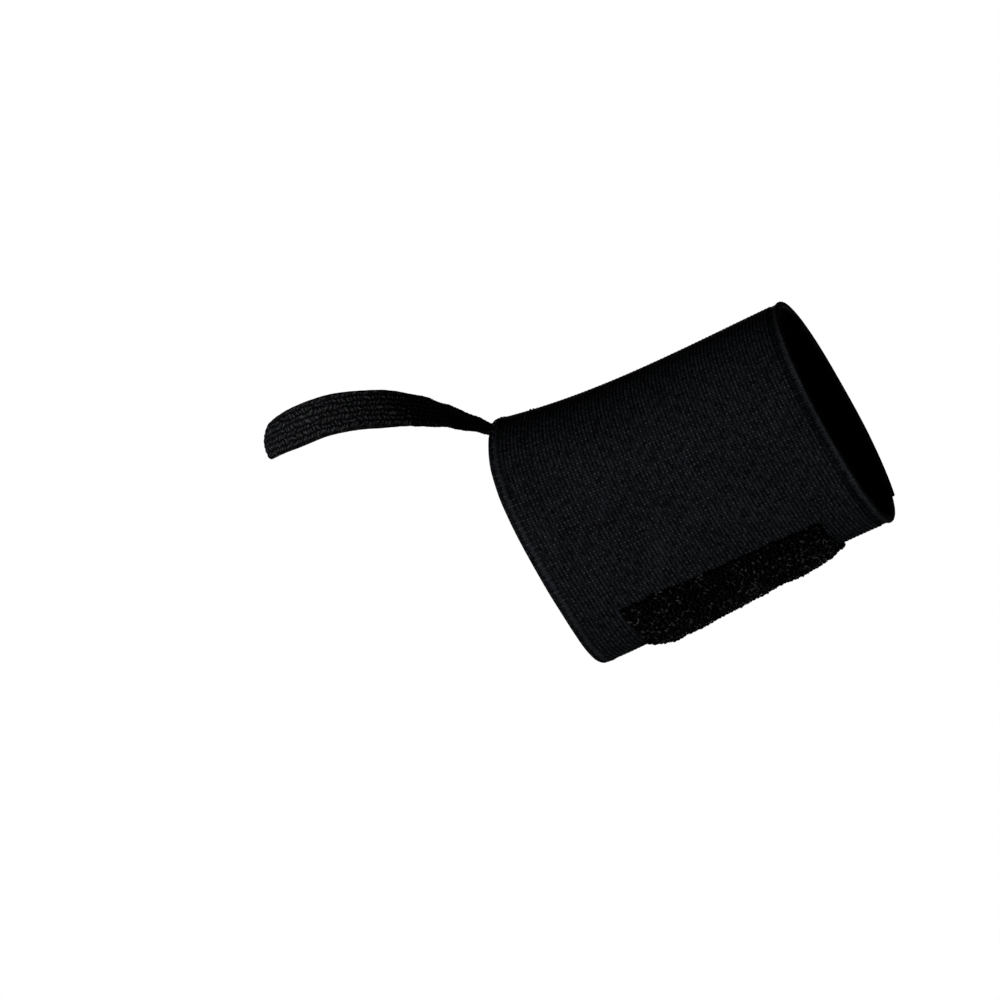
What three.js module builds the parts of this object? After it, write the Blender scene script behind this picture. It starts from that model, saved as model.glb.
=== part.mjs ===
// Elastic wrist support with a thumb loop, in the form it has when worn: a woven band wound a turn
// and a third round the wrist, a braided loop for the thumb, and a hook and pile fastening.
// X runs along the forearm to the elbow, Z points to the thumb side and Y to the palm side.
// The origin is the middle of the wrist hollow. Lengths are millimetres and angles degrees.

import * as THREE from "three";

const { clamp, degToRad, lerp, smoothstep } = THREE.MathUtils;

// Gap between pieces and between turns of the band
const GAP = 0.3;

// Angles start at the thumb side and grow towards the palm side. A whole number of steps makes
// a turn, so the facets of both turns of the band are parallel.
const ANGLE_STEP = 5;
const WIDTH_STEPS = 10;

// Woven band. Its inner turn starts beside the ends of the thumb loop.
const BAND_WIDTH = 76;
const BAND_WALL = 1.3;
const BAND_FROM = 41;
const BAND_TO = 511;

// Pile patch on the outside of the inner turn, pressed flat where the free end holds it.
// Its skew is the turn of its ends round the wrist for each millimetre along the arm.
const PATCH_LENGTH = 50;
const PATCH_CENTRE = -0.8;
const PATCH_SKEW = -0.12;
const PILE_THICKNESS = 2.2;
const PILE_PRESSED = 1.2;
const PILE_AT_ENDS = 1.0;
const PILE_FROM = 121;
const PILE_TO = 236;

// Hook patch inside the free end
const HOOK_THICKNESS = 0.8;
const HOOK_FROM = 481;
const HOOK_TO = 506;

// The free end rises over the fastening, and settles again beside it
const RISE = PILE_PRESSED + HOOK_THICKNESS + 2 * GAP;
const RISE_FROM = 441;
const RISE_TO = 476;
const EDGE_SETTLING = 0.6;

// Braided thumb loop, tilted along the arm as the thumb is
const LOOP_WIDTH = 9.5;
const LOOP_THICKNESS = 1.1;
const LOOP_TILT = 25;
const LOOP_STEPS = 72;
const LOOP_WIDTH_STEPS = 2;

// Between an ellipse, 2, and a rounded oblong
const SQUARENESS = 2.25;

// The wrist from the hand to the elbow: the distance from the axis to the skin on four sides,
// and how far the section leans along the arm for each millimetre of height
const wristSections = [
  { along: -38.0, thumb: 29.7, little: 30.4, back: 21.2, palm: 20.7, lean: -0.004 },
  { along: -12.7, thumb: 26.3, little: 29.6, back: 20.0, palm: 19.7, lean: -0.015 },
  { along: 12.7, thumb: 25.6, little: 27.8, back: 20.0, palm: 19.5, lean: -0.026 },
  { along: 38.0, thumb: 25.7, little: 27.2, back: 20.7, palm: 19.9, lean: -0.037 },
];

// The thumb loop's middle line, from its end on the back of the wrist, round the thumb, to its end
// on the palm side. At lean 90 the strap lies flat on the thumb side, and at 0 it stands on edge.
// It is drawn together where its first end goes under the band.
const loopStations = [
  { x: -27.0, y: 0.2, z: 28.1, lean: 90, width: 6.5 },
  { x: -38.3, y: 0.2, z: 29.7, lean: 90, width: 6.5 },
  { x: -41.2, y: -0.6, z: 34.5, lean: 97, width: 7.4 },
  { x: -45.1, y: -5.4, z: 39.4, lean: 82, width: 9.1 },
  { x: -49.0, y: -8.3, z: 43.3, lean: 67, width: LOOP_WIDTH },
  { x: -58.2, y: -11.2, z: 49.3, lean: 43, width: LOOP_WIDTH },
  { x: -69.4, y: -12.0, z: 52.9, lean: 32, width: LOOP_WIDTH },
  { x: -81.2, y: -8.6, z: 53.2, lean: 22, width: LOOP_WIDTH },
  { x: -89.2, y: 1.0, z: 51.3, lean: 13, width: LOOP_WIDTH },
  { x: -87.8, y: 10.8, z: 50.3, lean: 18, width: LOOP_WIDTH },
  { x: -79.4, y: 15.8, z: 49.0, lean: 28, width: LOOP_WIDTH },
  { x: -67.2, y: 15.6, z: 45.1, lean: 42, width: LOOP_WIDTH },
  { x: -55.8, y: 13.2, z: 39.8, lean: 64, width: LOOP_WIDTH },
  { x: -50.4, y: 11.4, z: 36.4, lean: 84, width: LOOP_WIDTH },
  { x: -45.0, y: 9.6, z: 32.7, lean: 102, width: LOOP_WIDTH },
  { x: -41.0, y: 8.7, z: 29.8, lean: 112, width: LOOP_WIDTH },
  { x: -38.3, y: 8.3, z: 27.7, lean: 115, width: LOOP_WIDTH },
  { x: -27.0, y: 8.2, z: 26.1, lean: 115, width: LOOP_WIDTH },
];

const sectionSizes = ["thumb", "little", "back", "palm", "lean"];
const sectionCurve = new THREE.CubicInterpolant(
  wristSections.map((row) => row.along),
  wristSections.flatMap((row) => sectionSizes.map((size) => row[size])),
  sectionSizes.length,
);

// Section of the wrist at one place along the arm, as a palm-side and a thumb-side distance
function wristOutline(along, angle) {
  const [thumb, little, back, palm] = sectionCurve.evaluate(along);
  const rounded = (share) => Math.sign(share) * Math.abs(share) ** (2 / SQUARENESS);
  const across = rounded(Math.sin(degToRad(angle)));
  const up = rounded(Math.cos(degToRad(angle)));
  return new THREE.Vector2(across * (across > 0 ? palm : back), up * (up > 0 ? thumb : little));
}

// Point at a height above the skin, measured square to it in the section
function pointOnWrist(along, angle, height) {
  const ahead = wristOutline(along, angle + ANGLE_STEP / 2);
  const tangent = ahead.sub(wristOutline(along, angle - ANGLE_STEP / 2)).normalize();
  const section = wristOutline(along, angle);
  const y = section.x - tangent.y * height;
  const z = section.y + tangent.x * height;
  const lean = sectionCurve.evaluate(along)[sectionSizes.indexOf("lean")];
  return new THREE.Vector3(along + lean * z, y, z);
}

// Height of the band's inner face: each turn lies on the one before, and the free end on its fastening
function bandHeight(along, angle) {
  const turns = (angle - BAND_FROM) / 360;
  const beside = smoothstep(Math.abs(along - PATCH_CENTRE), PATCH_LENGTH / 2, BAND_WIDTH / 2);
  const rise = RISE * smoothstep(angle, RISE_FROM, RISE_TO) * (1 - EDGE_SETTLING * beside);
  return turns * (BAND_WALL + GAP) + rise;
}

// The pile stands up again past the edge of the free end, and is thin at the patch's two ends
function pileThickness(along, angle) {
  const freeEdge = BAND_TO - 360;
  const standing = smoothstep(angle, freeEdge - ANGLE_STEP, freeEdge + 2 * ANGLE_STEP);
  const fromEnd = PATCH_LENGTH / 2 - Math.abs(along - PATCH_CENTRE);
  const inner = smoothstep(fromEnd, 0, PATCH_LENGTH / WIDTH_STEPS);
  return lerp(PILE_AT_ENDS, lerp(PILE_PRESSED, PILE_THICKNESS, standing), inner);
}

// Closed thin solid. pointAt takes a share of the length, a share of the width and a face,
// 0 for the inner one and 1 for the outer one, with width cross length pointing out.
function thinSolid(lengthSteps, widthSteps, pointAt) {
  const positions = [];
  const index = [];
  const faceSize = (lengthSteps + 1) * (widthSteps + 1);
  const vertex = (row, column, face) => face * faceSize + row * (widthSteps + 1) + column;
  const quad = (a, b, c, d) => index.push(a, b, c, a, c, d);
  for (const face of [0, 1]) {
    for (let row = 0; row <= lengthSteps; row += 1) {
      for (let column = 0; column <= widthSteps; column += 1) {
        positions.push(...pointAt(row / lengthSteps, column / widthSteps, face));
      }
    }
  }
  for (let row = 0; row < lengthSteps; row += 1) {
    for (let column = 0; column < widthSteps; column += 1) {
      const corners = [[row, column], [row, column + 1], [row + 1, column + 1], [row + 1, column]];
      quad(...corners.map(([r, c]) => vertex(r, c, 1)));
      quad(...corners.map(([r, c]) => vertex(r, c, 0)).reverse());
    }
    const edge = [[row, 0], [row, 1], [row + 1, 1], [row + 1, 0]];
    quad(...edge.map(([r, face]) => vertex(r, 0, face)));
    quad(...edge.map(([r, face]) => vertex(r, widthSteps, face)).reverse());
  }
  for (let column = 0; column < widthSteps; column += 1) {
    const end = [[column, 0], [column + 1, 0], [column + 1, 1], [column, 1]];
    quad(...end.map(([c, face]) => vertex(0, c, face)));
    quad(...end.map(([c, face]) => vertex(lengthSteps, c, face)).reverse());
  }
  const geometry = new THREE.BufferGeometry();
  geometry.setAttribute("position", new THREE.Float32BufferAttribute(positions, 3));
  geometry.setIndex(index);
  geometry.computeVertexNormals();
  return geometry;
}

// Sheet laid round the wrist between two angles, whose faces have their own height above the skin
function wrappedSheet({ from, to, centre, width, skew, heightAt }) {
  return thinSolid((to - from) / ANGLE_STEP, WIDTH_STEPS, (lengthShare, widthShare, face) => {
    const across = (widthShare - 0.5) * width;
    const angle = lerp(from, to, lengthShare) + skew * across;
    const along = centre + across;
    return pointOnWrist(along, angle, heightAt(along, angle, face));
  });
}

// Flat strap that follows the loop's stations and turns on itself as it goes
function twistedStrap() {
  const route = new THREE.CatmullRomCurve3(loopStations.map(({ x, y, z }) => new THREE.Vector3(x, y, z)));
  const upright = new THREE.Vector3(Math.sin(degToRad(LOOP_TILT)), 0, Math.cos(degToRad(LOOP_TILT)));
  const palmwards = new THREE.Vector3(0, 1, 0);
  const stretches = loopStations.length - 1;
  const valueAt = (name, share) => {
    const before = clamp(Math.floor(share * stretches), 0, stretches - 1);
    const part = smoothstep(share * stretches - before, 0, 1);
    return lerp(loopStations[before][name], loopStations[before + 1][name], part);
  };
  return thinSolid(LOOP_STEPS, LOOP_WIDTH_STEPS, (lengthShare, widthShare, face) => {
    const share = route.getUtoTmapping(lengthShare);
    const tangent = route.getTangent(share);
    const lean = degToRad(valueAt("lean", share));
    const width = valueAt("width", share);
    const across = upright.clone().multiplyScalar(Math.cos(lean)).addScaledVector(palmwards, Math.sin(lean));
    across.addScaledVector(tangent, -across.dot(tangent)).normalize();
    const outward = across.clone().cross(tangent);
    const point = route.getPoint(share).addScaledVector(across, (widthShare - 0.5) * width);
    return point.addScaledVector(outward, (face - 0.5) * LOOP_THICKNESS);
  });
}

const bandGeometry = wrappedSheet({
  from: BAND_FROM,
  to: BAND_TO,
  centre: 0,
  width: BAND_WIDTH,
  skew: 0,
  heightAt: (along, angle, face) => bandHeight(along, angle) + face * BAND_WALL,
});

const pileGeometry = wrappedSheet({
  from: PILE_FROM,
  to: PILE_TO,
  centre: PATCH_CENTRE,
  width: PATCH_LENGTH,
  skew: PATCH_SKEW,
  heightAt: (along, angle, face) =>
    bandHeight(along, angle) + BAND_WALL + GAP + face * pileThickness(along, angle),
});

const hookGeometry = wrappedSheet({
  from: HOOK_FROM,
  to: HOOK_TO,
  centre: PATCH_CENTRE,
  width: PATCH_LENGTH,
  skew: PATCH_SKEW,
  heightAt: (along, angle, face) => bandHeight(along, angle) - GAP - (1 - face) * HOOK_THICKNESS,
});

const wovenElastic = new THREE.MeshStandardMaterial({ color: "#141518", roughness: 0.85, metalness: 0 });
const braidedElastic = new THREE.MeshStandardMaterial({ color: "#121213", roughness: 0.75, metalness: 0 });
const loopPile = new THREE.MeshStandardMaterial({ color: "#0b0b0c", roughness: 0.95, metalness: 0 });
const hookTape = new THREE.MeshStandardMaterial({ color: "#101011", roughness: 0.6, metalness: 0 });

const wristSupport = new THREE.Group();

function addPiece(name, geometry, material) {
  const piece = new THREE.Mesh(geometry, material);
  piece.name = name;
  wristSupport.add(piece);
}

addPiece("wrap_band", bandGeometry, wovenElastic);
addPiece("thumb_loop", twistedStrap(), braidedElastic);
addPiece("pile_patch", pileGeometry, loopPile);
addPiece("hook_patch", hookGeometry, hookTape);

export default wristSupport;
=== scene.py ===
# Elastic wrist support in its worn form: woven band, braided thumb loop, pile and hook fastening.
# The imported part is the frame, in metres. Sizes below are in millimetres and angles in degrees,
# which start at +Z and grow towards +Y.
import math

import bmesh
import bpy
import numpy as np
from mathutils import Matrix, Vector, noise


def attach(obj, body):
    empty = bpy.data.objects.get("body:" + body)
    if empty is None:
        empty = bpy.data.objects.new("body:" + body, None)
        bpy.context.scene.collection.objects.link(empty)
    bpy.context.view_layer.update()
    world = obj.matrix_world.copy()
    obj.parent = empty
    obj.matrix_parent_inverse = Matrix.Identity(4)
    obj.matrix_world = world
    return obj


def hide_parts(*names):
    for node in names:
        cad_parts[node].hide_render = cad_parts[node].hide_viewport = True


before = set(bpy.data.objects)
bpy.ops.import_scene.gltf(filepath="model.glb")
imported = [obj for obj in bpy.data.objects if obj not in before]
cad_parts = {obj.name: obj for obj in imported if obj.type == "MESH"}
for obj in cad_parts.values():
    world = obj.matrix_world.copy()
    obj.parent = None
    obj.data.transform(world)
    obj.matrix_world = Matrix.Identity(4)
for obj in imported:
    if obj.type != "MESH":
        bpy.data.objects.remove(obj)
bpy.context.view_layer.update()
scene = bpy.context.scene
mm = 0.001
print("frame loaded:", ", ".join(sorted(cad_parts)))

# Camera at the photograph's viewing angle: it is turned about its own axis as well
photoView = {
    "azimuth": 16.6,
    "elevation": 10.0,
    "roll": 28.0,
    "target": (-44.8, 0.0, 14.4),
    "distance": 702.0,
    "lens": 105.0,
    "sensorWidth": 36.0,
    "clipEnd": 100.0,  # metres, past the backdrop
}


# Turn of a camera or light that looks at the target from an azimuth and elevation
def viewTurn(azimuth, elevation, roll=0.0):
    turn = Matrix.Rotation(math.radians(azimuth), 3, "Z")
    turn = turn @ Matrix.Rotation(math.radians(90 - elevation), 3, "X")
    return turn @ Matrix.Rotation(math.radians(-roll), 3, "Z")


def lookFrom(name, data, azimuth, elevation, distance, target, roll=0.0):
    turn = viewTurn(azimuth, elevation, roll)
    place = Vector(target) * mm + turn.col[2] * distance * mm
    item = bpy.data.objects.new(name, data)
    item.matrix_world = Matrix.Translation(place) @ turn.to_4x4()
    scene.collection.objects.link(item)
    return item


cameraData = bpy.data.cameras.new("photoCamera")
cameraData.lens = photoView["lens"]
cameraData.sensor_width = photoView["sensorWidth"]
cameraData.clip_end = photoView["clipEnd"]
scene.camera = lookFrom("photoCamera", cameraData, photoView["azimuth"], photoView["elevation"],
                        photoView["distance"], photoView["target"], photoView["roll"])
scene.view_settings.view_transform = "Standard"
print("camera placed")


# Adds a node with its settings, and its values or links by input name
def addNode(tree, kind, settings=None, inputs=None):
    node = tree.nodes.new(kind)
    for name, value in (settings or {}).items():
        setattr(node, name, value)
    for name, value in (inputs or {}).items():
        if isinstance(value, bpy.types.NodeSocket):
            tree.links.new(value, node.inputs[name])
        else:
            node.inputs[name].default_value = value
    return node


def toLinear(hexColour):
    channels = [int(hexColour[at:at + 2], 16) / 255 for at in (1, 3, 5)]
    return (*[c / 12.92 if c <= 0.04045 else ((c + 0.055) / 1.055) ** 2.4 for c in channels], 1.0)


def emptyMaterial(name):
    material = bpy.data.materials.new(name)
    material.use_nodes = True
    material.node_tree.nodes.clear()
    return material, material.node_tree


# White cove and soft lights. The cove is bright for the camera alone, as a backdrop that is kept
# off the cloth, so the black stays black.
studio = {
    "floorBelow": 250.0,
    "coveRadius": 6000.0,
    "coveSides": 64,
    "coveColour": "#ffffff",
    "fillColour": "#f4f6ff",
    "fillStrength": 0.02,
    "lights": [  # name, azimuth, elevation, distance, size, watts
        ("keySoftbox", -38.0, 3.0, 700.0, 300.0, 2.9),
        ("palmSoftbox", 195.0, -10.0, 1000.0, 600.0, 4.4),
        ("endSoftbox", 125.0, -30.0, 900.0, 400.0, 2.4),
    ],
}

coveShape = bmesh.new()
bmesh.ops.create_uvsphere(coveShape, u_segments=studio["coveSides"],
                          v_segments=studio["coveSides"] // 2, radius=studio["coveRadius"] * mm)
for corner in coveShape.verts:
    corner.co.z = max(corner.co.z, -studio["floorBelow"] * mm)
coveMesh = bpy.data.meshes.new("studioFloor")
coveShape.to_mesh(coveMesh)
coveShape.free()
cove = bpy.data.objects.new("studioFloor", coveMesh)
scene.collection.objects.link(cove)
cove.visible_diffuse = cove.visible_glossy = cove.visible_shadow = False
paper, paperTree = emptyMaterial("backdropPaper")
glow = addNode(paperTree, "ShaderNodeEmission", None, {
    "Color": toLinear(studio["coveColour"]), "Strength": 1.0})
addNode(paperTree, "ShaderNodeOutputMaterial", None, {"Surface": glow.outputs["Emission"]})
paper.cycles.emission_sampling = "NONE"
coveMesh.materials.append(paper)

for name, azimuth, elevation, distance, size, watts in studio["lights"]:
    lightData = bpy.data.lights.new(name, "AREA")
    lightData.energy = watts
    lightData.size = size * mm
    light = lookFrom(name, lightData, azimuth, elevation, distance, (0, 0, 0))
    light.visible_camera = False

scene.world = bpy.data.worlds.new("studioFill")
scene.world.use_nodes = True
background = scene.world.node_tree.nodes["Background"]
background.inputs["Color"].default_value = toLinear(studio["fillColour"])
background.inputs["Strength"].default_value = studio["fillStrength"]
print("studio built")

# Oval form that the band is wound on: its distance from the axis on four sides at places along X,
# and how far the section leans along X for each millimetre of height
wristForm = {
    "sections": [  # along, then to +Z, -Z, -Y and +Y, lean
        (-38.0, 29.7, 30.4, 21.2, 20.7, -0.004),
        (-12.7, 26.3, 29.6, 20.0, 19.7, -0.015),
        (12.7, 25.6, 27.8, 20.0, 19.5, -0.026),
        (38.0, 25.7, 27.2, 20.7, 19.9, -0.037),
    ],
    "squareness": 2.25,  # between an ellipse, 2, and a rounded oblong
    "tangentStep": 2.5,
    "routeSteps": 500,
}
sectionRows = np.array(wristForm["sections"])
sectionCurves = np.polyfit(sectionRows[:, 0], sectionRows[:, 1:], 3)


def smoothStep(value, low, high):
    share = np.clip((value - low) / (high - low), 0, 1)
    return share * share * (3 - 2 * share)


def wristOutline(along, angle):
    thumb, little, back, palm, lean = [np.polyval(curve, along) for curve in sectionCurves.T]
    turned = np.radians(angle)
    sideways, upright = np.sin(turned), np.cos(turned)
    power = 2 / wristForm["squareness"]
    y = np.sign(sideways) * np.abs(sideways) ** power * np.where(sideways > 0, palm, back)
    z = np.sign(upright) * np.abs(upright) ** power * np.where(upright > 0, thumb, little)
    return y, z, lean


# Points at a height above the form, measured square to it in the section
def pointOnWrist(along, angle, height):
    aheadY, aheadZ, _ = wristOutline(along, angle + wristForm["tangentStep"])
    behindY, behindZ, _ = wristOutline(along, angle - wristForm["tangentStep"])
    stepY, stepZ = aheadY - behindY, aheadZ - behindZ
    stepLength = np.hypot(stepY, stepZ)
    y, z, lean = wristOutline(along, angle)
    y = y - stepZ / stepLength * height
    z = z + stepY / stepLength * height
    return np.stack([along + lean * z, y, z], axis=-1)


# Flat cut as a closed slab: across on x, along on y, wall on z, with the flat place as its UV map
def flatStrip(name, width, length, columns, rows, wall, edgeRound):
    shape = bmesh.new()
    bmesh.ops.create_grid(shape, x_segments=columns, y_segments=rows, size=0.5)
    bmesh.ops.translate(shape, verts=shape.verts, vec=(0, 0.5, 0))
    bmesh.ops.scale(shape, verts=shape.verts, vec=(width, length, 1))
    bmesh.ops.solidify(shape, geom=shape.faces[:], thickness=wall)
    bmesh.ops.recalc_face_normals(shape, faces=shape.faces)
    corners = [edge for edge in shape.edges if edge.calc_face_angle(0) > 1]  # the slab's square edges
    bmesh.ops.bevel(shape, geom=corners, offset=edgeRound, affect="EDGES", segments=2,
                    profile=0.5, material=-1)
    flatCut = shape.loops.layers.uv.new("flatCut")
    for face in shape.faces:
        for corner in face.loops:
            corner[flatCut].uv = (corner.vert.co.y * mm, corner.vert.co.x * mm)
    mesh = bpy.data.meshes.new(name)
    shape.to_mesh(mesh)
    shape.free()
    mesh.shade_smooth()
    return mesh


# Moves each vertex from the flat cut to its place. side is -1 on the inner face and 1 on the outer.
def shapeStrip(mesh, placeAt):
    flat = np.empty(len(mesh.vertices) * 3, np.float32)
    mesh.vertices.foreach_get("co", flat)
    across, along, level = flat.reshape(-1, 3).T.astype(float)
    side = 2 * (level - level.min()) / np.ptp(level) - 1
    placed = placeAt(across, along, side) * mm
    mesh.vertices.foreach_set("co", placed.astype(np.float32).ravel())
    mesh.update()
    return across, along, side


# One value for each vertex, which a material reads by name
def keepValues(mesh, name, values):
    mesh.attributes.new(name, "FLOAT", "POINT").data.foreach_set("value", values.astype(np.float32))


# Smooth noise from -1 to 1 at places on the cloth, with a pattern of its own on each layer
def noiseOver(u, v, layer):
    return np.array([noise.noise(Vector((x, y, layer))) for x, y in zip(u, v)])


# Distance travelled along a line of points, from 0 to its length
def travelOf(points):
    steps = np.linalg.norm(np.diff(points, axis=0), axis=1)
    return np.concatenate([[0.0], np.cumsum(steps)])


# Strip laid round the form between two angles: the angles on its middle line, with the distance
# travelled to each. wallAt gives its inner and outer height.
def wrapRoute(cut, wallAt):
    angles = np.linspace(cut["from"], cut["to"], wristForm["routeSteps"])
    middle = np.full_like(angles, cut["centre"])
    inner, outer = wallAt(middle, angles)
    return angles, travelOf(pointOnWrist(middle, angles, (inner + outer) / 2))


def wrapPlace(cut, route, wallAt, across, along, side, relief=0.0):
    angles, travelled = route
    angle = np.interp(along, travelled, angles) + cut["skew"] * across
    inner, outer = wallAt(cut["centre"] + across, angle)
    height = (inner + outer) / 2 + side * ((outer - inner) / 2 + relief)
    return pointOnWrist(cut["centre"] + across, angle, height)


def addPiece(name, mesh, material):
    piece = bpy.data.objects.new(name, mesh)
    scene.collection.objects.link(piece)
    mesh.materials.clear()
    mesh.materials.append(material)
    return piece


noiseSpan = {"From Min": 0.3, "From Max": 0.7}  # where most values of a noise texture lie


# Woven elastic: polyester yarns over rubber warps, in a plain weave. Dull and nearly black, with
# a painted grey glint on each yarn where it comes over, and painted black shade in the gaps between.
weave = {
    "ribs": 82,
    "ribPitch": 76.0 / 82,  # a high warp, with a low warp in the furrow beside it
    "pickPitch": 0.6,
    "highGap": 0.18,  # painted dark shade round a yarn, on a high warp and on a low one
    "lowGap": 0.28,
    "yarnLight": "#404348",
    "yarnDark": "#1e2023",
    # low warps darker than the high ones: painted shade in the furrow
    "shadedLowLight": "#212427",
    "shadedLowDark": "#0d0e0f",
    # painted shade in the gaps between the yarns
    "gapShade": "#010101",
    "cordColour": "#2c2e32",
    "overPick": 0.24,  # a warp shows more where it goes over every other pick
    "wander": (0.6, 0.12),  # of the yarns off their straight lines, along and across
    "wanderLength": 1.7,
    "fibre": 0.25,
    "fibreSwing": 1.8,
    "cloud": 14.0,
    "cloudSwing": 0.1,
    "bumpDepth": 0.1,
    "yarnRoughness": 0.75,
    "gapRoughness": 1.0,
}


def makeWovenElastic():
    material, tree = emptyMaterial("wovenElastic")
    flat = addNode(tree, "ShaderNodeUVMap", {"uv_map": "flatCut"})
    wander = addNode(tree, "ShaderNodeTexNoise", None, {
        "Vector": flat.outputs["UV"], "Scale": 1 / (weave["wanderLength"] * mm), "Detail": 1.0})
    swayAlong, swayAcross = weave["wander"]
    wandering = addNode(tree, "ShaderNodeVectorMath", {"operation": "MULTIPLY_ADD"}, {
        0: wander.outputs["Color"], 1: (swayAlong * mm, swayAcross * mm, 0), 2: flat.outputs["UV"]})
    place = wandering.outputs["Vector"]
    rib, pick = weave["ribPitch"], weave["pickPitch"]
    highYarns = addNode(tree, "ShaderNodeTexBrick", {"offset": 0.0}, {
        "Vector": place, "Scale": 1 / mm, "Brick Width": pick, "Row Height": rib,
        "Mortar Size": weave["highGap"], "Mortar Smooth": 1.0, "Color1": toLinear(weave["yarnLight"]),
        "Color2": toLinear(weave["yarnDark"]), "Mortar": toLinear(weave["gapShade"])})
    between = addNode(tree, "ShaderNodeMapping", None, {
        "Vector": place, "Location": (pick / 2 * mm, rib / 2 * mm, 0)})
    lowYarns = addNode(tree, "ShaderNodeTexBrick", {"offset": 0.0}, {
        "Vector": between.outputs["Vector"], "Scale": 1 / mm, "Brick Width": 2 * pick, "Row Height": rib,
        "Mortar Size": weave["lowGap"], "Mortar Smooth": 1.0, "Color1": toLinear(weave["shadedLowLight"]),
        "Color2": toLinear(weave["shadedLowDark"]), "Mortar": toLinear(weave["gapShade"])})
    # high yarns darker down the rib's flanks towards the furrow: painted shade
    ribCrestShade = addNode(tree, "ShaderNodeAttribute", {"attribute_name": "ribCrestShade"})
    overPicks = addNode(tree, "ShaderNodeTexWave", {"bands_direction": "X"}, {
        "Vector": place, "Scale": math.pi / (20 * pick * mm),  # one wave to two picks
        "Phase Offset": -math.pi / 2})
    pickTone = addNode(tree, "ShaderNodeMapRange", None, {
        "Value": overPicks.outputs["Fac"], "To Min": 1 - weave["overPick"], "To Max": 1 + weave["overPick"]})
    overTone = addNode(tree, "ShaderNodeMath", {"operation": "MULTIPLY"}, {
        0: ribCrestShade.outputs["Fac"], 1: pickTone.outputs["Result"]})
    ribs = addNode(tree, "ShaderNodeVectorMath", {"operation": "SCALE"}, {
        0: highYarns.outputs["Color"], "Scale": overTone.outputs["Value"]})
    yarns = addNode(tree, "ShaderNodeVectorMath", {"operation": "MAXIMUM"}, {
        0: ribs.outputs["Vector"], 1: lowYarns.outputs["Color"]})
    edgeCord = addNode(tree, "ShaderNodeAttribute", {"attribute_name": "edgeCord"})
    cord = addNode(tree, "ShaderNodeVectorMath", {"operation": "SCALE"}, {
        0: toLinear(weave["cordColour"])[:3], "Scale": edgeCord.outputs["Fac"]})
    corded = addNode(tree, "ShaderNodeVectorMath", {"operation": "MAXIMUM"}, {
        0: yarns.outputs["Vector"], 1: cord.outputs["Vector"]})
    fibres = addNode(tree, "ShaderNodeTexNoise", None, {
        "Vector": place, "Scale": 1 / (weave["fibre"] * mm), "Detail": 2.0})
    swing = weave["fibreSwing"]
    fibreTone = addNode(tree, "ShaderNodeVectorMath", {"operation": "MULTIPLY_ADD"}, {
        0: fibres.outputs["Color"], 1: (swing,) * 3, 2: (1 - swing / 2,) * 3})
    clouds = addNode(tree, "ShaderNodeTexNoise", None, {
        "Vector": place, "Scale": 1 / (weave["cloud"] * mm), "Detail": 2.0})
    cloudTone = addNode(tree, "ShaderNodeMapRange", None, {
        "Value": clouds.outputs["Fac"], **noiseSpan,
        "To Min": 1 - weave["cloudSwing"], "To Max": 1 + weave["cloudSwing"]})
    # painted shade in the edge furrow, and a darker rim
    edgeShade = addNode(tree, "ShaderNodeAttribute", {"attribute_name": "edgeShade"})
    tone = addNode(tree, "ShaderNodeMath", {"operation": "MULTIPLY"}, {
        0: cloudTone.outputs["Result"], 1: edgeShade.outputs["Fac"]})
    tinted = addNode(tree, "ShaderNodeVectorMath", {"operation": "MULTIPLY"}, {
        0: corded.outputs["Vector"], 1: fibreTone.outputs["Vector"]})
    colour = addNode(tree, "ShaderNodeVectorMath", {"operation": "SCALE"}, {
        0: tinted.outputs["Vector"], "Scale": tone.outputs["Value"]})
    crown = addNode(tree, "ShaderNodeMath", {"operation": "SUBTRACT"}, {0: 1.0, 1: highYarns.outputs["Fac"]})
    bump = addNode(tree, "ShaderNodeBump", None, {
        "Height": crown.outputs["Value"], "Distance": weave["bumpDepth"] * mm, "Strength": 0.8})
    roughness = addNode(tree, "ShaderNodeMapRange", None, {
        "Value": highYarns.outputs["Fac"],
        "To Min": weave["yarnRoughness"], "To Max": weave["gapRoughness"]})
    cloth = addNode(tree, "ShaderNodeBsdfPrincipled", None, {
        "Base Color": colour.outputs["Vector"], "Roughness": roughness.outputs["Result"],
        "Specular IOR Level": 0.01, "Normal": bump.outputs["Normal"]})
    addNode(tree, "ShaderNodeOutputMaterial", None, {"Surface": cloth.outputs["BSDF"]})
    return material


# Woven band, wound a turn and a third, with a corded selvedge along both edges. An edge's values are
# the widths of its plain rim, light bead and furrow, the furrow's depth, the painted shade that darkens
# the furrow, and how much darker the rim is.
bandCut = {
    "width": 76.0,
    "wall": 1.3,
    "from": 41.0,
    "to": 511.0,
    "centre": 0.0,
    "skew": 0.0,
    "turnGap": 0.3,
    "columns": 4 * weave["ribs"],
    "rows": 118,
    "edgeRound": 0.2,
    "ribDepth": 0.14,
    "handEdge": (1.3, 1.1, 1.0, 0.05, 0.3, 0.38),
    "elbowEdge": (0.12, 1.0, 1.75, 0.2, 0.65, 0.75),
    "rimFade": (-0.2, 0.1),
    "ribsFrom": 0.4,  # of the furrow's width
    "edgeCrest": 0.8,  # tone of the yarns outside the ribs
    "beadHeight": 0.12,
    "edgeThinning": 0.35,  # of the wall, at the very edge
    "thinningWidth": 0.6,
    "rise": 2.6,  # of the free end over its fastening
    "riseFrom": 441.0,
    "riseTo": 476.0,
    "edgeSettling": 0.6,  # less rise at the band's edges, where no fastening lies under it
    "edgeLineFrom": 8.0,  # off the middle
    "edgeLine": [  # angle, and how far the edge beside the loop stands out there
        (165, 0.0), (180, 0.5), (195, 0.9), (210, 0.9), (225, 0.6), (238, 0.25), (250, 0.1), (268, 0.28),
        (285, 0.55), (303, 0.75), (320, 0.5), (335, -0.2), (350, -0.7), (372, -0.5), (395, 0.0),
    ],
}
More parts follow.
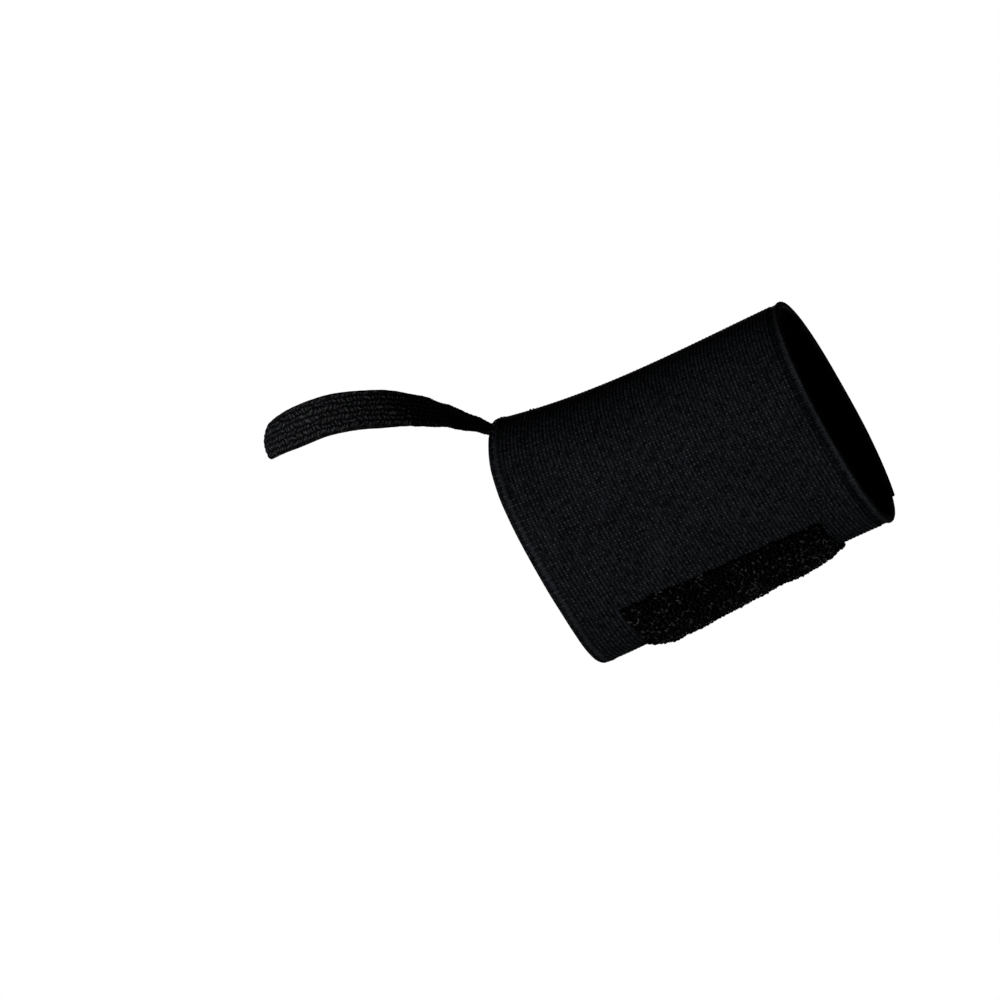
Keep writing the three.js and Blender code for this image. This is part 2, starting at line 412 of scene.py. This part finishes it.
patchCut = {
    "width": 50.0,
    "from": 121.0,
    "to": 236.0,
    "centre": -0.8,
    "skew": -0.12,
    "columns": 100,
    "rows": 100,
    "edgeRound": 0.15,
    "gap": 0.3,
    "pile": 2.2,
    "loopTops": 0.6,  # of the pile's height, above its matted body
    "tuft": 1.1,
    "tuftHeight": 0.25,
    "swell": 5.0,
    "swellHeight": 0.55,
    "pilePressed": 1.2,
    "pileAtEnds": 1.0,
    "coverFrom": 142.0,  # no loops further in, where the free end presses the pile flat
    "standFrom": 146.0,
    "standTo": 161.0,
    "endTaper": 5.0,
}


# Each turn of the band lies on the one before, and its free end on the fastening
def bandWall(along, angle):
    turns = (angle - bandCut["from"]) / 360
    beside = smoothStep(np.abs(along - patchCut["centre"]), patchCut["width"] / 2, bandCut["width"] / 2)
    rise = bandCut["rise"] * smoothStep(angle, bandCut["riseFrom"], bandCut["riseTo"])
    inner = turns * (bandCut["wall"] + bandCut["turnGap"]) + rise * (1 - bandCut["edgeSettling"] * beside)
    return inner, inner + bandCut["wall"]


# 1 on a high warp and 0 on the low warp beside it
def ribCrown(across):
    return 0.5 - 0.5 * np.cos(2 * np.pi * across / weave["ribPitch"])


# Distance in from the nearer edge, the bead there from 0 to 1, how deep the furrow is, the edge's
# tone with painted shade in the furrow and a darker rim, and the share of the ribs that shows
def edgeForm(across):
    fromEdge = bandCut["width"] / 2 - np.abs(across)
    rim, bead, furrow, depth, furrowShade, rimShade = [
        np.where(across < 0, hand, elbow) for hand, elbow in zip(bandCut["handEdge"], bandCut["elbowEdge"])]
    onBead = np.sin(np.pi * np.clip((fromEdge - rim) / bead, 0, 1))
    inFurrow = np.sqrt(np.clip(np.sin(np.pi * np.clip((fromEdge - rim - bead) / furrow, 0, 1)), 0, 1))
    onRim = 1 - smoothStep(fromEdge, rim + bandCut["rimFade"][0], rim + bandCut["rimFade"][1])
    onRibs = smoothStep(fromEdge, rim + bead + bandCut["ribsFrom"] * furrow, rim + bead + furrow)
    # painted shade in the furrow, and a darker rim at the very edge
    tone = (1 - rimShade * onRim) * (1 - furrowShade * inFurrow)
    return fromEdge, onBead, depth * inFurrow, tone, onRibs


# Height of the woven face over the plain wall: corded edge, furrow beside it, then the ribs
def bandRelief(across):
    fromEdge, onBead, sunk, _, onRibs = edgeForm(across)
    ribs = bandCut["ribDepth"] * (1 - ribCrown(across)) * onRibs
    outermost = 1 - np.clip(fromEdge / bandCut["thinningWidth"], 0, 1)
    thinning = bandCut["edgeThinning"] * (1 - np.sqrt(1 - outermost ** 2))
    return bandCut["beadHeight"] * onBead - sunk - ribs - thinning * bandCut["wall"] / 2


bandRoute = wrapRoute(bandCut, bandWall)
bandLength = bandRoute[1][-1]


def bandPlace(across, along, side):
    angle = np.interp(along, bandRoute[1], bandRoute[0])
    nearEdge = smoothStep(-across, bandCut["edgeLineFrom"], bandCut["width"] / 2)
    standsOut = np.interp(angle, *np.array(bandCut["edgeLine"]).T) * nearEdge
    return wrapPlace(bandCut, bandRoute, bandWall, across - standsOut, along, side, bandRelief(across))


bandMesh = flatStrip("wrapBand", bandCut["width"], bandLength, bandCut["columns"], bandCut["rows"],
                     bandCut["wall"], bandCut["edgeRound"])
bandAcross, _, _ = shapeStrip(bandMesh, bandPlace)
_, onBead, _, edgeShade, onRibs = edgeForm(bandAcross)
edgeCrest = bandCut["edgeCrest"]
# painted shade: the high yarns darken down each rib's flanks, and keep one tone in the edge zone
keepValues(bandMesh, "ribCrestShade", edgeCrest + (ribCrown(bandAcross) - edgeCrest) * onRibs)
keepValues(bandMesh, "edgeCord", onBead)
# painted shade in the edge furrow and a darker rim
keepValues(bandMesh, "edgeShade", edgeShade)
wrapBand = addPiece("wrapBand", bandMesh, makeWovenElastic())
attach(wrapBand, "root")
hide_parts("wrap_band")
print(f"band wound: {bandCut['width']:.0f} x {bandLength:.0f} mm flat, {len(bandMesh.polygons)} faces")

# Braided elastic: rows of slanted polyester strands over rubber cores. Black, with a painted faint
# gloss on the crown of each strand and painted deep black shade between the rows.
braid = {
    "rows": 7,
    "pickPitch": 0.95,
    "slant": 0.75,
    "rowShift": 0.37,  # of a pick, so that the rows are out of step
    "rowApart": 7.3,  # far enough in the noise for each row to wander by itself
    "depth": 0.26,
    "middleHeight": 0.6,
    "ridgePower": 0.5,  # lower is a flatter row with narrower gaps
    "pickGap": 0.4,  # height left between the strands of a row
    "wander": 1.0,  # of a pick, where the strands lie unevenly
    "wanderLength": 1.5,
    "sway": 0.42,  # of a row
    "edgeRound": 0.65,
    "edgeLeft": 0.3,  # of the wall, at the very edge
    # painted highlight on a strand's crown, painted shade on its flanks and in the gaps
    "strandCrownHighlight": "#45464a",
    "strandShadedFlank": "#111213",
    "gapShade": "#030304",
    "darkAt": 0.55,  # of a strand's height
    "fibre": 0.2,
    "fibreSwing": 2.4,
    "uneven": 0.4,
    "unevenSwing": 0.9,
    "bumpDepth": 0.05,
    "crownRoughness": 0.5,
    "gapRoughness": 0.9,
}


def makeBraidedElastic():
    material, tree = emptyMaterial("braidedElastic")
    flat = addNode(tree, "ShaderNodeUVMap", {"uv_map": "flatCut"})
    relief = addNode(tree, "ShaderNodeAttribute", {"attribute_name": "strandCrownShading"})
    fibres = addNode(tree, "ShaderNodeTexNoise", None, {
        "Vector": flat.outputs["UV"], "Scale": 1 / (braid["fibre"] * mm), "Detail": 2.0})
    # colour by strand height: painted highlight on the crowns, painted shade down to black in the gaps
    tones = addNode(tree, "ShaderNodeValToRGB", None, {"Fac": relief.outputs["Fac"]})
    tones.color_ramp.elements[0].color = toLinear(braid["gapShade"])
    tones.color_ramp.elements[1].color = toLinear(braid["strandCrownHighlight"])
    tones.color_ramp.elements.new(braid["darkAt"]).color = toLinear(braid["strandShadedFlank"])
    swing = braid["fibreSwing"]
    fibreTone = addNode(tree, "ShaderNodeVectorMath", {"operation": "MULTIPLY_ADD"}, {
        0: fibres.outputs["Color"], 1: (swing,) * 3, 2: (1 - swing / 2,) * 3})
    wear = addNode(tree, "ShaderNodeTexNoise", None, {
        "Vector": flat.outputs["UV"], "Scale": 1 / (braid["uneven"] * mm), "Detail": 1.0})
    wearTone = addNode(tree, "ShaderNodeMapRange", None, {
        "Value": wear.outputs["Fac"], **noiseSpan,
        "To Min": 1 - braid["unevenSwing"], "To Max": 1 + braid["unevenSwing"]})
    tinted = addNode(tree, "ShaderNodeVectorMath", {"operation": "MULTIPLY"}, {
        0: tones.outputs["Color"], 1: fibreTone.outputs["Vector"]})
    colour = addNode(tree, "ShaderNodeVectorMath", {"operation": "SCALE"}, {
        0: tinted.outputs["Vector"], "Scale": wearTone.outputs["Result"]})
    bump = addNode(tree, "ShaderNodeBump", None, {
        "Height": fibres.outputs["Fac"], "Distance": braid["bumpDepth"] * mm, "Strength": 0.5})
    roughness = addNode(tree, "ShaderNodeMapRange", None, {
        "Value": relief.outputs["Fac"],
        "To Min": braid["gapRoughness"], "To Max": braid["crownRoughness"]})
    strands = addNode(tree, "ShaderNodeBsdfPrincipled", None, {
        "Base Color": colour.outputs["Vector"], "Roughness": roughness.outputs["Result"],
        "Specular IOR Level": 0.03, "Normal": bump.outputs["Normal"]})
    addNode(tree, "ShaderNodeOutputMaterial", None, {"Surface": strands.outputs["BSDF"]})
    return material


# Thumb loop: a flat strap with both ends tucked under one edge of the band. At lean 90 it lies flat
# on the +Z side, and at 0 it stands on edge.
loopCut = {
    "width": 9.5,
    "relaxedWidth": 10.0,
    "wall": 1.1,
    "tilt": 25.0,
    "bow": 1.3,  # of the strap's middle, where it turns back
    "bowPlace": (-89.2, 1.0, 51.3),
    "bowLength": 11.0,
    "widened": 0.4,  # all along, so that the braid's round edges reach the full width
    "narrowed": 1.0,  # where it turns back
    "lineSteps": 3000,
    "columns": 56,
    "rows": 680,
    "edgeRound": 0.15,
    "stations": [  # x, y, z, lean, width
        (-27.0, 0.2, 28.1, 90, 6.5), (-37.8, 0.2, 30.4, 90, 6.5), (-41.0, -0.8, 33.9, 88, 7.6),
        (-45.1, -5.4, 39.4, 82, 9.8), (-49.0, -8.3, 43.3, 67, 10.2), (-58.2, -11.2, 49.3, 43, 9.2),
        (-69.4, -12.0, 52.9, 32, 9.5), (-81.2, -8.6, 53.2, 22, 9.5), (-89.2, 1.0, 51.3, 13, 9.5),
        (-87.8, 10.8, 50.3, 18, 9.5), (-79.4, 15.8, 49.0, 28, 9.5), (-67.2, 15.6, 45.1, 42, 9.5),
        (-55.8, 13.2, 39.8, 64, 9.5), (-50.4, 11.4, 36.4, 84, 9.5), (-45.0, 9.6, 32.7, 102, 9.5),
        (-41.0, 8.7, 29.8, 112, 9.5), (-38.3, 8.3, 27.7, 115, 9.5), (-27.0, 8.2, 26.1, 115, 9.5),
    ],
}
loopRows = np.array(loopCut["stations"])


# Smooth line through the stations, whose steps go by the root of their spacing so that it keeps
# from overshooting, with its direction and the strap's lean and width
def loopLine(share):
    points, turns = loopRows[:, :3], loopRows[:, 3:]
    stretches = len(points) - 1
    first = np.clip(np.floor(share * stretches), 0, stretches - 1).astype(int)
    part = share * stretches - first
    padded = np.vstack([2 * points[0] - points[1], points, 2 * points[-1] - points[-2]])
    before, start, end, after = [padded[first + step] for step in range(4)]
    spans = [np.linalg.norm(b - a, axis=1, keepdims=True) ** 0.5
             for a, b in ((before, start), (start, end), (end, after))]
    slopeIn = ((start - before) / spans[0] - (end - before) / (spans[0] + spans[1])
               + (end - start) / spans[1]) * spans[1]
    slopeOut = ((end - start) / spans[1] - (after - start) / (spans[1] + spans[2])
                + (after - end) / spans[2]) * spans[1]
    square = 3 * (end - start) - 2 * slopeIn - slopeOut
    cube = 2 * (start - end) + slopeIn + slopeOut
    t = part[:, None]
    line = start + slopeIn * t + square * t ** 2 + cube * t ** 3
    heading = slopeIn + 2 * square * t + 3 * cube * t ** 2
    heading /= np.linalg.norm(heading, axis=1, keepdims=True)
    lean, width = (turns[first] + (turns[first + 1] - turns[first]) * smoothStep(t, 0, 1)).T
    return line, heading, np.radians(lean), width


loopShares = np.linspace(0, 1, loopCut["lineSteps"])
loopTravel = travelOf(loopLine(loopShares)[0])
loopLength = loopTravel[-1]


# Rows of slanted strands, each row leaning the other way from the next. 0 is a gap, 1 a crown.
def braidCrown(across, along):
    sway = noiseOver(along / braid["wanderLength"], across / braid["wanderLength"], 9)
    rowPlace = (across / loopCut["width"] + 0.5) * braid["rows"] + braid["sway"] * sway
    row = np.clip(np.floor(rowPlace), 0, braid["rows"] - 1)
    inRow = np.clip(rowPlace - row, 0, 1)
    slant = braid["slant"] * np.where(row % 2 == 0, 1, -1) * (inRow - 0.5)
    wander = noiseOver(along / braid["wanderLength"], braid["rowApart"] * row, 0)
    phase = along / braid["pickPitch"] + slant + braid["rowShift"] * row ** 2 + braid["wander"] * wander
    pick = 0.5 + 0.5 * np.cos(2 * np.pi * phase)
    ridge = np.clip(np.sin(np.pi * inRow), 0, 1) ** braid["ridgePower"]
    return ridge * (braid["pickGap"] + (1 - braid["pickGap"]) * pick)


def loopPlace(across, along, side):
    line, heading, lean, width = loopLine(np.interp(along, loopTravel, loopShares))
    tilt = math.radians(loopCut["tilt"])
    upright = np.array([math.sin(tilt), 0, math.cos(tilt)])
    palmwards = np.array([0.0, 1.0, 0.0])
    sideways = np.cos(lean)[:, None] * upright + np.sin(lean)[:, None] * palmwards
    sideways -= heading * np.sum(sideways * heading, axis=1, keepdims=True)
    sideways /= np.linalg.norm(sideways, axis=1, keepdims=True)
    outward = np.cross(sideways, heading)
    fromEdge = np.clip((loopCut["width"] / 2 - np.abs(across)) / braid["edgeRound"], 0, 1)
    rounded = braid["edgeLeft"] + (1 - braid["edgeLeft"]) * np.sqrt(1 - (1 - fromEdge) ** 2)
    relief = braid["depth"] * (braidCrown(across, along) - braid["middleHeight"])
    height = side * rounded * (loopCut["wall"] / 2 + relief)
    fromTurn = np.linalg.norm(line - np.array(loopCut["bowPlace"]), axis=1) / loopCut["bowLength"]
    turning = np.exp(-fromTurn ** 2)
    height = height + loopCut["bow"] * turning * (1 - (2 * across / loopCut["width"]) ** 2)
    drawn = across * (width + loopCut["widened"] - loopCut["narrowed"] * turning) / loopCut["width"]
    return line + sideways * drawn[:, None] + outward * height[:, None]


loopMesh = flatStrip("thumbLoop", loopCut["width"], loopLength, loopCut["columns"], loopCut["rows"],
                     loopCut["wall"], loopCut["edgeRound"])
loopAcross, loopAlong, _ = shapeStrip(loopMesh, loopPlace)
# strand height, which the material turns into painted highlight and painted shade
keepValues(loopMesh, "strandCrownShading", braidCrown(loopAcross, loopAlong))
thumbLoop = addPiece("thumbLoop", loopMesh, makeBraidedElastic())
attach(thumbLoop, "root")
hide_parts("thumb_loop")
print(f"thumb loop laid: {loopCut['width']:.1f} x {loopLength:.0f} mm, {len(loopMesh.polygons)} faces")

# Seams through the band: the strap's two ends are sewn under one edge, and the hook tape inside the
# free end. Polyester thread, a little lighter and shinier than the cloth.
seams = {
    "pitch": 2.9,
    "halfLength": 0.8,
    "halfWidth": 0.2,
    "halfHeight": 0.15,
    "raised": 0.08,
    "thread": "#4c4e52",
    "threadDark": "#1a1b1d",
    "toneSpan": (0.35, 0.65),
    "twist": 0.35,
    "bumpDepth": 0.05,
    "rowSteps": 400,
    "roundOval": (20.0, 28.0),  # the form as an ellipse, for which way is out
    "rows": [  # along and angle of the corners each row of stitches joins
        [(-36.3, 338.0), (-36.3, 392.0)],
        [(-28.5, 348.0), (-28.5, 388.0)],
        [(-24.8, 483.0), (23.2, 483.0), (23.2, 503.0), (-24.8, 503.0), (-24.8, 483.0)],
    ],
}


def makeSewingThread():
    material, tree = emptyMaterial("sewingThread")
    place = addNode(tree, "ShaderNodeTexCoord")
    plies = addNode(tree, "ShaderNodeTexNoise", None, {
        "Vector": place.outputs["Object"], "Scale": 1 / (seams["twist"] * mm), "Detail": 2.0})
    tones = addNode(tree, "ShaderNodeValToRGB", None, {"Fac": plies.outputs["Fac"]})
    tones.color_ramp.elements[0].position, tones.color_ramp.elements[1].position = seams["toneSpan"]
    tones.color_ramp.elements[0].color = toLinear(seams["threadDark"])
    tones.color_ramp.elements[1].color = toLinear(seams["thread"])
    bump = addNode(tree, "ShaderNodeBump", None, {
        "Height": plies.outputs["Fac"], "Distance": seams["bumpDepth"] * mm})
    thread = addNode(tree, "ShaderNodeBsdfPrincipled", None, {
        "Base Color": tones.outputs["Color"], "Roughness": 0.5, "Specular IOR Level": 0.1,
        "Normal": bump.outputs["Normal"]})
    addNode(tree, "ShaderNodeOutputMaterial", None, {"Surface": thread.outputs["BSDF"]})
    return material


# Points where a stitch lies on the outside of the band
def onBand(along, angle):
    return pointOnWrist(along, angle, bandWall(along, angle)[1] + seams["raised"])


seamShape = bmesh.new()
stitchSize = Matrix.Diagonal((seams["halfLength"], seams["halfWidth"], seams["halfHeight"], 1))
halfDeep, halfHigh = seams["roundOval"]
for row in seams["rows"]:
    places = np.linspace(0, 1, seams["rowSteps"]) * (len(row) - 1)
    along, angle = [np.interp(places, np.arange(len(row)), values) for values in np.array(row).T]
    travelled = travelOf(onBand(along, angle))
    for at in np.arange(0.5 * seams["pitch"], travelled[-1], seams["pitch"]):
        span = [at - seams["halfLength"] / 2, at + seams["halfLength"] / 2]
        start, end = [Vector(point) for point in onBand(
            np.interp(span, travelled, along), np.interp(span, travelled, angle))]
        middle = (start + end) / 2
        forward = (end - start).normalized()
        outward = Vector((0, middle.y / halfDeep ** 2, middle.z / halfHigh ** 2))
        outward = (outward - forward * outward.dot(forward)).normalized()
        turn = Matrix((forward, outward.cross(forward), outward)).transposed().to_4x4()
        stitch = Matrix.Translation(middle) @ turn @ stitchSize @ Matrix.Rotation(math.pi / 2, 4, "Y")
        bmesh.ops.create_uvsphere(seamShape, u_segments=6, v_segments=5, radius=1, matrix=stitch)
bmesh.ops.scale(seamShape, verts=seamShape.verts, vec=(mm, mm, mm))
seamMesh = bpy.data.meshes.new("seamStitches")
seamShape.to_mesh(seamMesh)
seamShape.free()
seamMesh.shade_smooth()
seamStitches = addPiece("seamStitches", seamMesh, makeSewingThread())
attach(seamStitches, "root")
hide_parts("wrap_band")
print(f"seams sewn: {len(seamMesh.polygons)} faces")

# Nylon loop pile: a tangle of fine shiny loops. Very dark, with painted shade for the light lost
# between the loops, and scattered painted bright specks on the crowns that would catch the light.
nylon = {
    # painted shade: the matted body darker than the loops
    "tapeColour": "#020203",
    # painted highlight on the crowns of the loops
    "loopCrownHighlight": "#3e3f43",
    "loopDark": "#09090b",
    "hookColour": "#101011",
    "hookLight": "#1d1d1f",
    "matted": ((0.2, 0.4), 0.8, 0.02),  # where dark ends and light begins, roughness, gloss
    "loops": ((0.3, 1.0), 0.35, 0.03),
    "hooks": ((0.2, 0.4), 0.45, 0.1),
    "patch": 1.6,
    "patchShare": 0.5,
    "shineSwing": 0.1,
}


def makeNylon(name, darkColour, lightColour, lightFrom, roughness, gloss):
    material, tree = emptyMaterial(name)
    place = addNode(tree, "ShaderNodeTexCoord")
    patches = addNode(tree, "ShaderNodeTexNoise", None, {
        "Vector": place.outputs["Object"], "Scale": 1 / (nylon["patch"] * mm), "Detail": 3.0})
    # painted highlight: the crowns of the rarer bright loops made lighter
    strand = addNode(tree, "ShaderNodeAttribute", {"attribute_name": "strandTone"})
    crown = addNode(tree, "ShaderNodeAttribute", {"attribute_name": "strandCrownShading"})
    crownHighlight = addNode(tree, "ShaderNodeMath", {"operation": "MULTIPLY"}, {
        0: strand.outputs["Fac"], 1: crown.outputs["Fac"]})
    share = addNode(tree, "ShaderNodeMath", {"operation": "MULTIPLY_ADD"}, {
        0: patches.outputs["Fac"], 1: nylon["patchShare"], 2: crownHighlight.outputs["Value"]})
    tones = addNode(tree, "ShaderNodeValToRGB", None, {"Fac": share.outputs["Value"]})
    tones.color_ramp.elements[0].position, tones.color_ramp.elements[1].position = lightFrom
    tones.color_ramp.elements[0].color = toLinear(darkColour)
    tones.color_ramp.elements[1].color = toLinear(lightColour)
    shine = addNode(tree, "ShaderNodeMapRange", None, {
        "Value": patches.outputs["Fac"],
        "To Min": roughness + nylon["shineSwing"], "To Max": roughness - nylon["shineSwing"]})
    surface = addNode(tree, "ShaderNodeBsdfPrincipled", None, {
        "Base Color": tones.outputs["Color"], "Roughness": shine.outputs["Result"],
        "Specular IOR Level": gloss})
    addNode(tree, "ShaderNodeOutputMaterial", None, {"Surface": surface.outputs["BSDF"]})
    return material


# Pile patch: a matted body on its tape, then the loops that stand on it
def pileThickness(along, angle):
    standing = smoothStep(angle, patchCut["standFrom"], patchCut["standTo"])
    inner = smoothStep(patchCut["width"] / 2 - np.abs(along - patchCut["centre"]), 0, patchCut["endTaper"])
    full = patchCut["pilePressed"] + (patchCut["pile"] - patchCut["pilePressed"]) * standing
    return patchCut["pileAtEnds"] + (full - patchCut["pileAtEnds"]) * inner


def patchWall(along, angle):
    base = bandWall(along, angle)[1] + patchCut["gap"]
    return base, base + pileThickness(along, angle) - patchCut["loopTops"]


# Uneven top of the matted pile: small tufts on a slow swell
def patchPlace(across, along, side):
    tufts = noiseOver(across / patchCut["tuft"], along / patchCut["tuft"], 0)
    swells = noiseOver(across / patchCut["swell"], along / patchCut["swell"], 5)
    uneven = np.where(side > 0.5, patchCut["tuftHeight"] * tufts + patchCut["swellHeight"] * swells, 0.0)
    return wrapPlace(patchCut, patchRoute, patchWall, across, along, side, uneven)


patchRoute = wrapRoute(patchCut, patchWall)
patchLength = patchRoute[1][-1]
patchMesh = flatStrip("pilePatch", patchCut["width"], patchLength, patchCut["columns"], patchCut["rows"],
                      patchCut["pilePressed"], patchCut["edgeRound"])
patchAcross, patchAlong, patchSide = shapeStrip(patchMesh, patchPlace)
patchAngle = np.interp(patchAlong, patchRoute[1], patchRoute[0]) + patchCut["skew"] * patchAcross
offUnderside = patchSide > -0.9
keepValues(patchMesh, "pileCover", offUnderside * (patchAngle > patchCut["coverFrom"]))
mattedPile = makeNylon("mattedPile", nylon["tapeColour"], nylon["loopDark"], *nylon["matted"])
pilePatch = addPiece("pilePatch", patchMesh, mattedPile)
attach(pilePatch, "root")
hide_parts("pile_patch")
print(f"pile patch laid: {patchCut['width']:.0f} x {patchLength:.0f} mm")

# Loops of the pile, each drawn as one bundle, because a single thread is too fine to show
pile = {
    "spacing": 0.88,
    "loopWidth": 1.0,
    "loopHeight": 0.47,
    "rooted": 0.2,
    "thread": 0.34,
    "lean": 0.5,
    "smallest": (0.7, 0.8, 0.7),
    "largest": (1.3, 1.3, 1.15),
    "brightPower": 4.4,  # higher leaves fewer loops with a painted highlight
    "crownSpan": (0.45, 0.95),  # of a loop's height, where the painted highlight lies
    "seed": 7,
}


# Loops scattered over the tape, each an arch of thread with its own size, turn and lean
def scatterPile(source):
    tree = bpy.data.node_groups.new("pileScatter", "GeometryNodeTree")
    tree.interface.new_socket("Geometry", in_out="INPUT", socket_type="NodeSocketGeometry")
    tree.interface.new_socket("Geometry", in_out="OUTPUT", socket_type="NodeSocketGeometry")
    tape = addNode(tree, "NodeGroupInput")
    cover = addNode(tree, "GeometryNodeInputNamedAttribute", {"data_type": "FLOAT"}, {"Name": "pileCover"})
    points = addNode(tree, "GeometryNodeDistributePointsOnFaces", {"distribute_method": "POISSON"}, {
        "Mesh": tape.outputs["Geometry"], "Distance Min": pile["spacing"] * mm,
        "Density Max": 4 / (pile["spacing"] * mm) ** 2,
        "Density Factor": cover.outputs["Attribute"], "Seed": pile["seed"]})
    tone = addNode(tree, "FunctionNodeRandomValue", {"data_type": "FLOAT"}, {"Seed": pile["seed"] + 3})
    rareTone = addNode(tree, "ShaderNodeMath", {"operation": "POWER"}, {
        0: tone.outputs[1], 1: pile["brightPower"]})
    toned = addNode(tree, "GeometryNodeStoreNamedAttribute", {"data_type": "FLOAT", "domain": "POINT"}, {
        "Geometry": points.outputs["Points"], "Name": "strandTone", "Value": rareTone.outputs["Value"]})
    half, rooted = pile["loopWidth"] / 2 * mm, pile["rooted"] * mm
    arch = addNode(tree, "GeometryNodeCurveQuadraticBezier", None, {
        "Resolution": 5, "Start": (-half, 0, -rooted), "Middle": (0, 0, 2 * pile["loopHeight"] * mm),
        "End": (half, 0, -rooted)})
    thread = addNode(tree, "GeometryNodeCurvePrimitiveCircle", None, {
        "Resolution": 3, "Radius": pile["thread"] * mm})
    loop = addNode(tree, "GeometryNodeCurveToMesh", None, {
        "Curve": arch.outputs["Curve"], "Profile Curve": thread.outputs["Curve"], "Fill Caps": True})
    inLoop = addNode(tree, "GeometryNodeInputPosition")
    loopSides = addNode(tree, "ShaderNodeSeparateXYZ", None, {"Vector": inLoop.outputs["Position"]})
    # height in each loop, for the painted highlight on its crown
    crownFrom, crownTo = [share * pile["loopHeight"] * mm for share in pile["crownSpan"]]
    crown = addNode(tree, "ShaderNodeMapRange", None, {
        "Value": loopSides.outputs["Z"], "From Min": crownFrom, "From Max": crownTo})
    crowned = addNode(tree, "GeometryNodeStoreNamedAttribute", {"data_type": "FLOAT", "domain": "POINT"}, {
        "Geometry": loop.outputs["Mesh"], "Name": "strandCrownShading", "Value": crown.outputs["Result"]})
    lean = addNode(tree, "FunctionNodeRandomValue", {"data_type": "FLOAT_VECTOR"}, {
        0: (-pile["lean"], -pile["lean"], 0), 1: (pile["lean"], pile["lean"], 2 * math.pi),
        "Seed": pile["seed"] + 1})
    turn = addNode(tree, "FunctionNodeRotateRotation", {"rotation_space": "LOCAL"}, {
        "Rotation": points.outputs["Rotation"], "Rotate By": lean.outputs[0]})
    spread = addNode(tree, "FunctionNodeRandomValue", {"data_type": "FLOAT_VECTOR"}, {
        0: pile["smallest"], 1: pile["largest"], "Seed": pile["seed"] + 2})
    placed = addNode(tree, "GeometryNodeInstanceOnPoints", None, {
        "Points": toned.outputs["Geometry"], "Instance": crowned.outputs["Geometry"],
        "Rotation": turn.outputs["Rotation"], "Scale": spread.outputs[0]})
    joined = addNode(tree, "GeometryNodeRealizeInstances", None, {"Geometry": placed.outputs["Instances"]})
    addNode(tree, "NodeGroupOutput", None, {"Geometry": joined.outputs["Geometry"]})
    carrier = bpy.data.objects.new("pileCarrier", source.data)
    scene.collection.objects.link(carrier)
    carrier.modifiers.new("scatter", "NODES").node_group = tree
    ready = carrier.evaluated_get(bpy.context.evaluated_depsgraph_get())
    mesh = bpy.data.meshes.new_from_object(ready)
    bpy.data.objects.remove(carrier)
    mesh.shade_smooth()
    return mesh


loopNylon = makeNylon("nylonLoopPile", nylon["loopDark"], nylon["loopCrownHighlight"], *nylon["loops"])
pileMesh = scatterPile(pilePatch)
pileLoops = addPiece("pileLoops", pileMesh, loopNylon)
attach(pileLoops, "root")
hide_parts("pile_patch")
print(f"pile raised: {len(pileMesh.polygons)} faces")

# Hook patch inside the free end: tape with rows of stubby hooks on its inner face
hookCut = {
    "width": 50.0,
    "from": 481.0,
    "to": 506.0,
    "centre": -0.8,
    "skew": -0.12,
    "columns": 132,
    "rows": 24,
    "edgeRound": 0.08,
    "gap": 0.3,
    "tape": 0.8,
    "hookPitch": 1.5,
    "hookHeight": 0.3,
}


def hookWall(along, angle):
    outer = bandWall(along, angle)[0] - hookCut["gap"]
    return outer - hookCut["tape"], outer


hookRoute = wrapRoute(hookCut, hookWall)
hookLength = hookRoute[1][-1]


def hookPlace(across, along, side):
    turns = np.pi / hookCut["hookPitch"]
    bumps = np.sin(turns * across) ** 2 * np.sin(turns * along) ** 2
    sunk = np.where(side < -0.5, hookCut["hookHeight"] * (bumps - 1), 0.0)
    return wrapPlace(hookCut, hookRoute, hookWall, across, along, side, sunk)


hookMesh = flatStrip("hookPatch", hookCut["width"], hookLength, hookCut["columns"], hookCut["rows"],
                     hookCut["tape"], hookCut["edgeRound"])
shapeStrip(hookMesh, hookPlace)
hookNylon = makeNylon("nylonHookTape", nylon["hookColour"], nylon["hookLight"], *nylon["hooks"])
hookPatch = addPiece("hookPatch", hookMesh, hookNylon)
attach(hookPatch, "root")
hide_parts("hook_patch")
print(f"hook patch laid: {hookCut['width']:.0f} x {hookLength:.0f} mm")

print("done")
